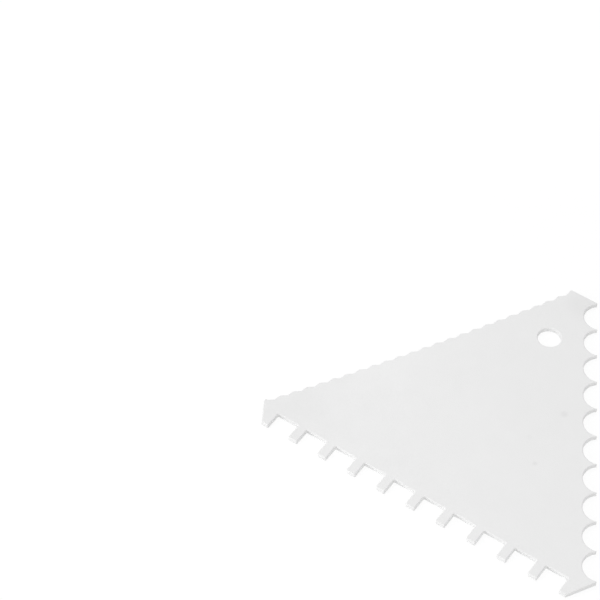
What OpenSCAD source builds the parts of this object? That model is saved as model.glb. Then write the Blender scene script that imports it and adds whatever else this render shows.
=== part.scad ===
// Triangular cake comb: one flat moulded plate with a different row of teeth along each side.
// The plate lies on its face. The square teeth face -Y, the scallops +X and the fine teeth -X.

/* [Plate] */
// Length of each side of the triangle, measured between its corners before they are cut off
side_l = 119.3; // [114:0.1:160]
// Thickness of the plate
plate_t = 1.4; // [0.8:0.1:4]

/* [Corners] */
// Length cut off both sides at the corner between the square teeth and the fine teeth
square_fine_cut = 8.1; // [6:0.1:14]
// Length cut off both sides at the corner between the square teeth and the scallops
square_scallop_cut = 9.6; // [6:0.1:14]
// Length cut off both sides at the corner between the scallops and the fine teeth, by the hole
scallop_fine_cut = 8.9; // [6:0.1:14]

/* [Square teeth] */
// Distance from one square tooth to the next
square_pitch = 10; // [8:0.5:16]
// Width of a square tooth
square_tooth_w = 3; // [2:0.1:4]
// Depth of the gaps between the square teeth
square_depth = 5.2; // [3:0.1:9]
// Radius at the foot of each gap and at the corners of each tooth
square_r = 0.4; // [0.1:0.1:0.9]

/* [Scallops] */
// Distance from one scallop to the next
scallop_pitch = 10; // [9.8:0.2:16]
// Radius of a scallop
scallop_r = 5; // [3.5:0.05:5.1]
// Distance of a scallop's centre outside the edge of the plate
scallop_out = 1.05; // [0.5:0.05:2]

/* [Fine teeth] */
// Distance from one fine tooth to the next
fine_pitch = 4.2; // [3:0.1:6]
// Depth of the notches between the fine teeth
fine_depth = 0.7; // [0.4:0.1:1.8]
// Width of the blunt tip of a fine tooth
fine_tip_w = 0.3; // [0.1:0.1:1]
// How far the ends of the fine row lie inside the edge of the plate
fine_set = 0.3; // [0:0.1:1]
// How far the middle of the fine row lies inside the straight line through its ends
fine_bow = 1.1; // [0.2:0.1:2]

/* [Hanging hole] */
// Diameter of the hanging hole
hole_d = 7; // [4:0.1:12]
// Distance from the top edge of the plate to the centre of the hole
hole_drop = 20; // [14:0.5:40]

/* [Hidden] */
// How far a cutting shape runs past the face or edge that it cuts
over = 1;
// Facets of a drawn circle: small roundings, scallops and hole, and the long arc of the fine row
round_fn = 24;
circle_fn = 64;
arc_fn = 720;
// Directions of the square, scalloped and fine sides, taken round the plate in turn
square_dir = 0;
scallop_dir = 120;
fine_dir = 240;

// Overall width and depth of the cut triangle, which the origin lies in the middle of
plate_w = side_l - (square_fine_cut + square_scallop_cut) / 2;
plate_h = (side_l - scallop_fine_cut) * sin(60);

// Corners of the triangle before they are cut off
left_corner = [-(plate_w + square_fine_cut) / 2, -plate_h / 2];
right_corner = left_corner + side_l * along(square_dir);
top_corner = right_corner + side_l * along(scallop_dir);

// Middle of each toothed edge, as a distance from the corner that the side starts at
square_mid = (side_l + square_fine_cut - square_scallop_cut) / 2;
scallop_mid = (side_l + square_scallop_cut - scallop_fine_cut) / 2;
fine_mid = (side_l + scallop_fine_cut - square_fine_cut) / 2;

// As many gaps, scallops and notches as each edge holds
square_count = floor((side_l - square_fine_cut - square_scallop_cut) / square_pitch);
scallop_count = floor((side_l - square_scallop_cut - scallop_fine_cut) / scallop_pitch);
fine_count = floor((side_l - scallop_fine_cut - square_fine_cut) / fine_pitch);

// The fine row follows a shallow arc through its two ends
fine_half = fine_count * fine_pitch / 2;
fine_arc_r = (fine_half * fine_half + fine_bow * fine_bow) / (2 * fine_bow);
fine_step = 2 * asin(fine_pitch / (2 * fine_arc_r));

function along(direction) = [cos(direction), sin(direction)];

// Places its children on a side: X runs along the side from its first corner and Y into the plate
module on_side(corner, direction) {
  translate(corner)
    rotate(direction)
      children();
}

// The triangle with its three corners cut straight
module blank() {
  polygon([
    left_corner + square_fine_cut * along(square_dir),
    right_corner - square_scallop_cut * along(square_dir),
    right_corner + square_scallop_cut * along(scallop_dir),
    top_corner - scallop_fine_cut * along(scallop_dir),
    top_corner + scallop_fine_cut * along(fine_dir),
    left_corner - square_fine_cut * along(fine_dir)
  ]);
}

// One gap between square teeth, rounded at its foot and flared where it rounds the teeth beside it
module square_gap() {
  gap_w = square_pitch - square_tooth_w;
  foot_x = gap_w / 2 - square_r;
  translate([-gap_w / 2, -over])
    square([gap_w, over + square_depth - square_r]);
  translate([-foot_x, 0])
    square([2 * foot_x, square_depth]);
  for (side = [0, 1])
    mirror([side, 0]) {
      translate([foot_x, square_depth - square_r])
        circle(r = square_r, $fn = round_fn);
      tooth_corner(gap_w / 2);
    }
}

// What rounds one corner of a square tooth off, beside a gap whose wall stands at wall_x
module tooth_corner(wall_x) {
  difference() {
    translate([wall_x - over, -over])
      square([over + square_r, over + square_r]);
    translate([wall_x + square_r, square_r])
      circle(r = square_r, $fn = round_fn);
  }
}

module square_row() {
  for (i = [0 : square_count - 1])
    translate([square_mid + (i - (square_count - 1) / 2) * square_pitch, 0])
      square_gap();
}

module scallop_row() {
  for (i = [0 : scallop_count - 1])
    translate([scallop_mid + (i - (scallop_count - 1) / 2) * scallop_pitch, -scallop_out])
      circle(r = scallop_r, $fn = circle_fn);
}

// One notch between fine teeth: a wide V whose mouth lies on the line Y = 0
module fine_notch() {
  mouth_x = (fine_pitch - fine_tip_w) / 2;
  polygon([[-mouth_x, 0], [-mouth_x, -over], [mouth_x, -over], [mouth_x, 0], [0, fine_depth]]);
}

// The shallow arc that the fine teeth end on, and the notches between them
module fine_row() {
  arc_rise = fine_set + fine_bow;
  translate([fine_mid, arc_rise - fine_arc_r]) {
    intersection() {
      circle(r = fine_arc_r, $fn = arc_fn);
      translate([-fine_half, fine_arc_r - arc_rise - over])
        square([2 * fine_half, arc_rise + over]);
    }
    for (i = [0 : fine_count - 1])
      rotate(-(i - (fine_count - 1) / 2) * fine_step)
        translate([0, fine_arc_r])
          fine_notch();
  }
}

module comb() {
  color("whitesmoke")
    difference() {
      linear_extrude(plate_t)
        difference() {
          blank();
          on_side(left_corner, square_dir)
            square_row();
          on_side(right_corner, scallop_dir)
            scallop_row();
          on_side(top_corner, fine_dir)
            fine_row();
        }
      translate([0, plate_h / 2 - hole_drop, -over])
        cylinder(d = hole_d, h = plate_t + 2 * over, $fn = circle_fn);
    }
}

comb();
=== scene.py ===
from math import cos, pi, radians, sin

import bmesh
import bpy
from mathutils import Matrix, Vector
from mathutils.bvhtree import BVHTree


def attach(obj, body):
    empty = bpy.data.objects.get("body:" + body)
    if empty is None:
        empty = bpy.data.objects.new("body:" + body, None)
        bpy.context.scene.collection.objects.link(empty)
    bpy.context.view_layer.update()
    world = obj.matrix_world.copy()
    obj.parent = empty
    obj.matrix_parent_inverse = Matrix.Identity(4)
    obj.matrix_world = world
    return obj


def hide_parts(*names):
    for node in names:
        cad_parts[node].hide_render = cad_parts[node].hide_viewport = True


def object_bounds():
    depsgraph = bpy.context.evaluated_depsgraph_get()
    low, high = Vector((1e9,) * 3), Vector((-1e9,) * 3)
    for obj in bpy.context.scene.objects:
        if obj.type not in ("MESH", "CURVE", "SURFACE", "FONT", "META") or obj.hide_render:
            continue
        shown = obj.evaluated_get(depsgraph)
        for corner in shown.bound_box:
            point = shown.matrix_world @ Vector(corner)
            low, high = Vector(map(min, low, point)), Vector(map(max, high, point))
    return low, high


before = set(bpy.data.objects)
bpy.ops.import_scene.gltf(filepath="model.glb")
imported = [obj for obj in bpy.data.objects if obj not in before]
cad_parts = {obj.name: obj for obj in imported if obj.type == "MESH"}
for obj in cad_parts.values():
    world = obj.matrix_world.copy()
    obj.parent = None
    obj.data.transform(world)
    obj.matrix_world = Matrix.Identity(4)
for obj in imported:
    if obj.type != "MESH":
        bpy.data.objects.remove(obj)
cad_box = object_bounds()


# Camera
# It looks down on the comb from the front and the right, from about 0.73 m away, through a long
# lens. The comb lies low and to the right in the picture, as it does in the photograph.
MM = 0.001
VIEW_AIM = Vector((-68.96, -2.62, 0)) * MM
VIEW_DISTANCE = 727.32 * MM
VIEW_AZIMUTH = radians(33.081)
VIEW_ELEVATION = radians(49.619)
VIEW_ROLL = radians(2.124)
SENSOR_WIDTH = 36
FOCAL_LENGTH = 145.25


def direction(azimuth, elevation):
    """Which way a point lies at azimuth, from the front round to the right, and at elevation."""
    return Vector((sin(azimuth) * cos(elevation), -cos(azimuth) * cos(elevation), sin(elevation)))


scene = bpy.context.scene
camera = bpy.data.objects.new("camera", bpy.data.cameras.new("camera"))
scene.collection.objects.link(camera)
camera.data.sensor_width = SENSOR_WIDTH
camera.data.lens = FOCAL_LENGTH
back = direction(VIEW_AZIMUTH, VIEW_ELEVATION)
right = Vector((cos(VIEW_AZIMUTH), sin(VIEW_AZIMUTH), 0))
axes = Matrix((right, back.cross(right), back)).transposed().to_4x4()
stand = Matrix.Translation(VIEW_AIM + back * VIEW_DISTANCE)
camera.matrix_world = stand @ axes @ Matrix.Rotation(VIEW_ROLL, 4, "Z")
scene.camera = camera


# The comb's plate
# One flat plate of white plastic, moulded in one shot with a different row of teeth along each
# side. The mould leaves its rims softly rounded, most on the upper face.
TOP_ROUND = 0.35 * MM
BASE_ROUND = 0.05 * MM
ROUND_STEPS = 6
# The most of the plate's width that a rounding takes, and the most that it shortens an edge of the rim
WIDTH_SHARE = 0.38
EDGE_SHARE = 0.75
# How steeply a rounding may widen along the rim, and how many times the rim is gone over for it
WIDENING = 0.3
WIDENING_PASSES = 30
# Points nearer than this are made one, and faces that turn less than this against each other too
MERGE_GAP = 0.01 * MM
SAME_FLAT = radians(0.5)
# The trial step that shows which way is inward, and how far inside the wall the plate's width is taken
INSET_PROBE = 0.01 * MM
RAY_START = 0.002 * MM
# How upright a flat's normal is at least, and how near to the flat's height its points lie at most
UPRIGHT = 0.99
FLAT_TO = 0.0001 * MM
# The faces of a rounding have this many sides, and those of a flat have more
ROUNDING_SIDES = 4
# Edges that turn less than this shine smoothly
SMOOTH_TO = radians(35)


def round_rim(plate, walls, face_z, up, radius):
    """Rounds the rim of the flat face at height face_z, whose outside is up (1) or down (-1)."""
    reach = plate.verts.layers.float_vector.new("reach")
    along = plate.verts.layers.float.new("along")
    flat = [f for f in plate.faces if f.normal.z * up > UPRIGHT]
    inset = bmesh.ops.inset_region(
        plate, faces=flat, thickness=INSET_PROBE, use_boundary=True, use_even_offset=True
    )
    # The rim is the flat's old outline, and a spoke joins each of its corners to the new one inside.
    inner = {v for f in flat for v in f.verts}
    ring_edges = dict.fromkeys(e for f in inset["faces"] for e in f.edges)
    spokes = [e for e in ring_edges if sum(v in inner for v in e.verts) == 1]
    rim = [e for e in ring_edges if not any(v in inner for v in e.verts)]
    inside_of = {}
    inward = {}
    for spoke in spokes:
        inside, corner = spoke.verts if spoke.verts[0] in inner else reversed(spoke.verts)
        inside_of[corner] = inside
        inward[corner] = (inside.co - corner.co) / INSET_PROBE
    # The rounding reaches in by its radius, or less where the plate is too narrow.
    to_middle = Vector((0, 0, (base_z + top_z) / 2 - face_z))
    depth_at = {}
    for corner, way in inward.items():
        width = walls.ray_cast(corner.co + to_middle + way * RAY_START, way)[3]
        depth_at[corner] = radius if width is None else min(radius, WIDTH_SHARE * width / way.length)
    # An edge whose ends close up as they move in keeps a part of its length.
    for edge in rim:
        first, last = edge.verts
        step = last.co - first.co
        closing = (inward[first] - inward[last]).dot(step.normalized())
        if closing > 0:
            for corner in edge.verts:
                depth_at[corner] = min(depth_at[corner], EDGE_SHARE * step.length / closing)
    # The rounding narrows and widens again gradually along the rim.
    for _ in range(WIDENING_PASSES):
        for edge in rim:
            first, last = edge.verts
            ease = WIDENING * edge.calc_length()
            depth_at[first] = min(depth_at[first], depth_at[last] + ease)
            depth_at[last] = min(depth_at[last], depth_at[first] + ease)
    # Each spoke is cut into steps, which are laid along a quarter turn from the wall to the flat.
    for corner, inside in inside_of.items():
        inside[reach] = corner[reach] = inward[corner] * depth_at[corner]
        inside[along] = 1
        inside.co = corner.co
    bmesh.ops.subdivide_edges(plate, edges=spokes, cuts=ROUND_STEPS - 1)
    for point in plate.verts:
        if point[reach].length:
            turn = pi / 2 * point[along]
            point.co += point[reach] * (1 - cos(turn))
            point.co.z = face_z - up * radius * (1 - sin(turn))
    plate.verts.layers.float_vector.remove(reach)
    plate.verts.layers.float.remove(along)


base_z = cad_box[0].z
top_z = cad_box[1].z
plate = bmesh.new()
plate.from_mesh(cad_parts["comb"].data)
bmesh.ops.remove_doubles(plate, verts=plate.verts, dist=MERGE_GAP)
bmesh.ops.dissolve_limit(plate, angle_limit=SAME_FLAT, verts=plate.verts, edges=plate.edges)
walls = BVHTree.FromBMesh(plate)
round_rim(plate, walls, top_z, 1, TOP_ROUND)
round_rim(plate, walls, base_z, -1, BASE_ROUND)
flats = [f for f in plate.faces if len(f.verts) > ROUNDING_SIDES]
bmesh.ops.triangulate(plate, faces=flats, ngon_method="BEAUTY")
plate_mesh = bpy.data.meshes.new("plate")
plate.to_mesh(plate_mesh)
plate.free()
plate_mesh.shade_smooth()
plate_mesh.set_sharp_from_angle(angle=SMOOTH_TO)
# Points at the height of a flat face shine as the flat does, so the rounding runs out into it.
normals = [Vector(n.vector) for n in plate_mesh.corner_normals]
for loop in plate_mesh.loops:
    height = plate_mesh.vertices[loop.vertex_index].co.z
    for face_z, up in ((top_z, 1), (base_z, -1)):
        if abs(height - face_z) < FLAT_TO:
            normals[loop.index] = Vector((0, 0, up))
plate_mesh.normals_split_custom_set(normals)
plate_piece = bpy.data.objects.new("plate", plate_mesh)
scene.collection.objects.link(plate_piece)

# The plastic is a satin white. It flowed a little unevenly into the mould, which shows as faint clouds
# in its whiteness and its sheen, and the mould's surface gave it a fine grain.
PLASTIC_WHITE = (0.84, 0.84, 0.84)
CLOUD_SCALE = 28
CLOUD_DETAIL = 6
CLOUD_ROUGHNESS = 0.6
CLOUD_WHITENESS = (0.985, 1.0)
SHEEN_SCALE = 180
SHEEN_DETAIL = 3
SHEEN_ROUGHNESS = (0.42, 0.52)
GRAIN_SCALE = 3600
GRAIN_DETAIL = 2
GRAIN_HEIGHT = 0.04 * MM
# The part of a noise's range that nearly all of it lies in
NOISE_RANGE = (0.3, 0.7)
# Faint marks in the plastic's colour: the middle of each in mm, the radii in mm between which it fades,
# and how much darker it is. Three are specks; two are painted shade that darkens two corners, and the
# last is a painted light patch by the fine teeth.
specks_and_painted_shading = [
    ((18.3, 5.6, 1.4), (0.3, 1.6), 0.065),
    ((14.3, -7.3, 1.4), (0.3, 1.2), 0.02),
    ((20.5, -14.6, 1.4), (0.2, 1.1), 0.065),
    ((1.5, 45, 1.4), (2, 8), 0.04),
    ((-51, -42, 1.4), (2, 26), 0.036),
    ((-33, -7, 1.4), (3, 18), -0.02),
]


def add_node(tree, kind, inputs=None, **settings):
    """Adds a shader node, sets its properties, and fills its inputs with values or links."""
    node = tree.nodes.new(kind)
    for name, value in settings.items():
        setattr(node, name, value)
    for name, value in (inputs or {}).items():
        if isinstance(value, bpy.types.NodeSocket):
            tree.links.new(value, node.inputs[name])
        else:
            node.inputs[name].default_value = value
    return node


def add_range(tree, value, span, result, **settings):
    """Turns a value that runs over span into one that runs over result, and gives its socket."""
    ends = {"From Min": span[0], "From Max": span[1], "To Min": result[0], "To Max": result[1]}
    return add_node(tree, "ShaderNodeMapRange", {"Value": value, **ends}, **settings).outputs["Result"]


plastic = bpy.data.materials.new("white_plastic")
plastic.use_nodes = True
tree = plastic.node_tree
shader = tree.nodes["Principled BSDF"]
place = add_node(tree, "ShaderNodeTexCoord").outputs["Object"]
clouds = add_node(tree, "ShaderNodeTexNoise", {
    "Vector": place, "Scale": CLOUD_SCALE, "Detail": CLOUD_DETAIL, "Roughness": CLOUD_ROUGHNESS
})
tone = add_range(tree, clouds.outputs["Fac"], NOISE_RANGE, CLOUD_WHITENESS)
# The specks, the painted shade on two corners and the painted light patch all scale the white here
for centre, radii, depth in specks_and_painted_shading:
    middle = Vector(centre) * MM
    fade = [radius * MM for radius in radii]
    away = add_node(tree, "ShaderNodeVectorMath", {0: place, 1: middle}, operation="DISTANCE")
    speck_or_painted_shading = add_range(tree, away.outputs["Value"], fade, (1 - depth, 1), interpolation_type="SMOOTHSTEP")
    tone_with_specks_and_shading = add_node(tree, "ShaderNodeMath", {0: tone, 1: speck_or_painted_shading}, operation="MULTIPLY")
    tone = tone_with_specks_and_shading.outputs["Value"]
tint = add_node(tree, "ShaderNodeVectorMath", {0: PLASTIC_WHITE, "Scale": tone}, operation="SCALE")
tree.links.new(tint.outputs["Vector"], shader.inputs["Base Color"])
sheen = add_node(tree, "ShaderNodeTexNoise", {
    "Vector": place, "Scale": SHEEN_SCALE, "Detail": SHEEN_DETAIL
})
satin = add_range(tree, sheen.outputs["Fac"], NOISE_RANGE, SHEEN_ROUGHNESS)
tree.links.new(satin, shader.inputs["Roughness"])
grain = add_node(tree, "ShaderNodeTexNoise", {
    "Vector": place, "Scale": GRAIN_SCALE, "Detail": GRAIN_DETAIL
})
bump = add_node(tree, "ShaderNodeBump", {
    "Height": grain.outputs["Fac"], "Strength": 1, "Distance": GRAIN_HEIGHT
})
tree.links.new(bump.outputs["Normal"], shader.inputs["Normal"])
plate_mesh.materials.append(plastic)
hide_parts("comb")
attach(plate_piece, "root")


# The floor
# A wide white table top that the comb lies on. It is plain white to the eye, and close to the comb
# it still takes the comb's soft shadow.
FLOOR_SIDE = 6
FLOOR_GAP = 0.005 * MM
# The table's own white, which lights the comb from below, and the white that the eye gets
TABLE_WHITE = (0.95, 0.95, 0.95, 1)
PURE_WHITE = (1, 1, 1, 1)
TABLE_GLOW = 1.02
# How much of the shadow shows, and the distances from the comb's middle between which it fades out
SHADOW_SHARE = 0.2
SHADOW_FADE = (80 * MM, 130 * MM)


def seen_by_eye(tree):
    """Gives 1 for what is seen straight, mirrored or through glass, and 0 for what lights the comb."""
    rays = add_node(tree, "ShaderNodeLightPath").outputs
    seen = rays["Is Camera Ray"]
    for kind in ("Is Glossy Ray", "Is Transmission Ray"):
        either = add_node(tree, "ShaderNodeMath", {0: seen, 1: rays[kind]}, operation="MAXIMUM")
        seen = either.outputs["Value"]
    return seen


floor_mesh = bpy.data.meshes.new("floor")
floor_form = bmesh.new()
bmesh.ops.create_grid(floor_form, x_segments=1, y_segments=1, size=FLOOR_SIDE / 2)
bmesh.ops.translate(floor_form, verts=floor_form.verts, vec=(0, 0, base_z - FLOOR_GAP))
floor_form.to_mesh(floor_mesh)
floor_form.free()
floor = bpy.data.objects.new("floor", floor_mesh)
scene.collection.objects.link(floor)

table_top = bpy.data.materials.new("white_table_top")
table_top.use_nodes = True
tree = table_top.node_tree
tree.nodes.clear()
place = add_node(tree, "ShaderNodeTexCoord").outputs["Object"]
away = add_node(tree, "ShaderNodeVectorMath", {0: place}, operation="LENGTH").outputs["Value"]
near = add_range(tree, away, SHADOW_FADE, (SHADOW_SHARE, 0), interpolation_type="SMOOTHSTEP")
lighting = add_node(tree, "ShaderNodeBsdfDiffuse", {"Color": TABLE_WHITE}).outputs["BSDF"]
shadowed = add_node(tree, "ShaderNodeBsdfDiffuse", {"Color": PURE_WHITE}).outputs["BSDF"]
glow = add_node(tree, "ShaderNodeEmission", {"Color": PURE_WHITE, "Strength": TABLE_GLOW})
shown = add_node(tree, "ShaderNodeMixShader", {0: near, 1: glow.outputs["Emission"], 2: shadowed})
surface = add_node(tree, "ShaderNodeMixShader", {
    0: seen_by_eye(tree), 1: lighting, 2: shown.outputs["Shader"]
})
add_node(tree, "ShaderNodeOutputMaterial", {"Surface": surface.outputs["Shader"]})
floor_mesh.materials.append(table_top)


# The light
# Three soft boxes stand round the comb in a white room that fills the shadows. The low one, in front
# and to the left, draws the bright and dark lines along the rims.
BOX_SIDE = 0.35
BOX_DISTANCE = 0.6
# Each soft box: its angle round the comb from the front to the right, its height as an angle, its power
soft_boxes = {
    "front_box": (radians(-40), radians(15), 1.42),
    "right_box": (radians(45), radians(52), 0.82),
    "rear_box": (radians(-135), radians(52), 0.77),
}

for name, (azimuth, elevation, power) in soft_boxes.items():
    lamp = bpy.data.lights.new(name, "AREA")
    lamp.shape = "SQUARE"
    lamp.size = BOX_SIDE
    lamp.energy = power
    box = bpy.data.objects.new(name, lamp)
    scene.collection.objects.link(box)
    toward = direction(azimuth, elevation)
    turned = toward.to_track_quat("Z", "Y").to_matrix().to_4x4()
    box.matrix_world = Matrix.Translation(toward * BOX_DISTANCE) @ turned

# How bright the room is as light on the comb, and to the eye
ROOM_LIGHT = 0.54
ROOM_SEEN = 1
room = bpy.data.worlds.new("white_room")
scene.world = room
room.use_nodes = True
tree = room.node_tree
tree.nodes.clear()
strength = add_range(tree, seen_by_eye(tree), (0, 1), (ROOM_LIGHT, ROOM_SEEN))
sky = add_node(tree, "ShaderNodeBackground", {"Color": PURE_WHITE, "Strength": strength})
add_node(tree, "ShaderNodeOutputWorld", {"Surface": sky.outputs["Background"]})

scene.view_settings.view_transform = "Standard"
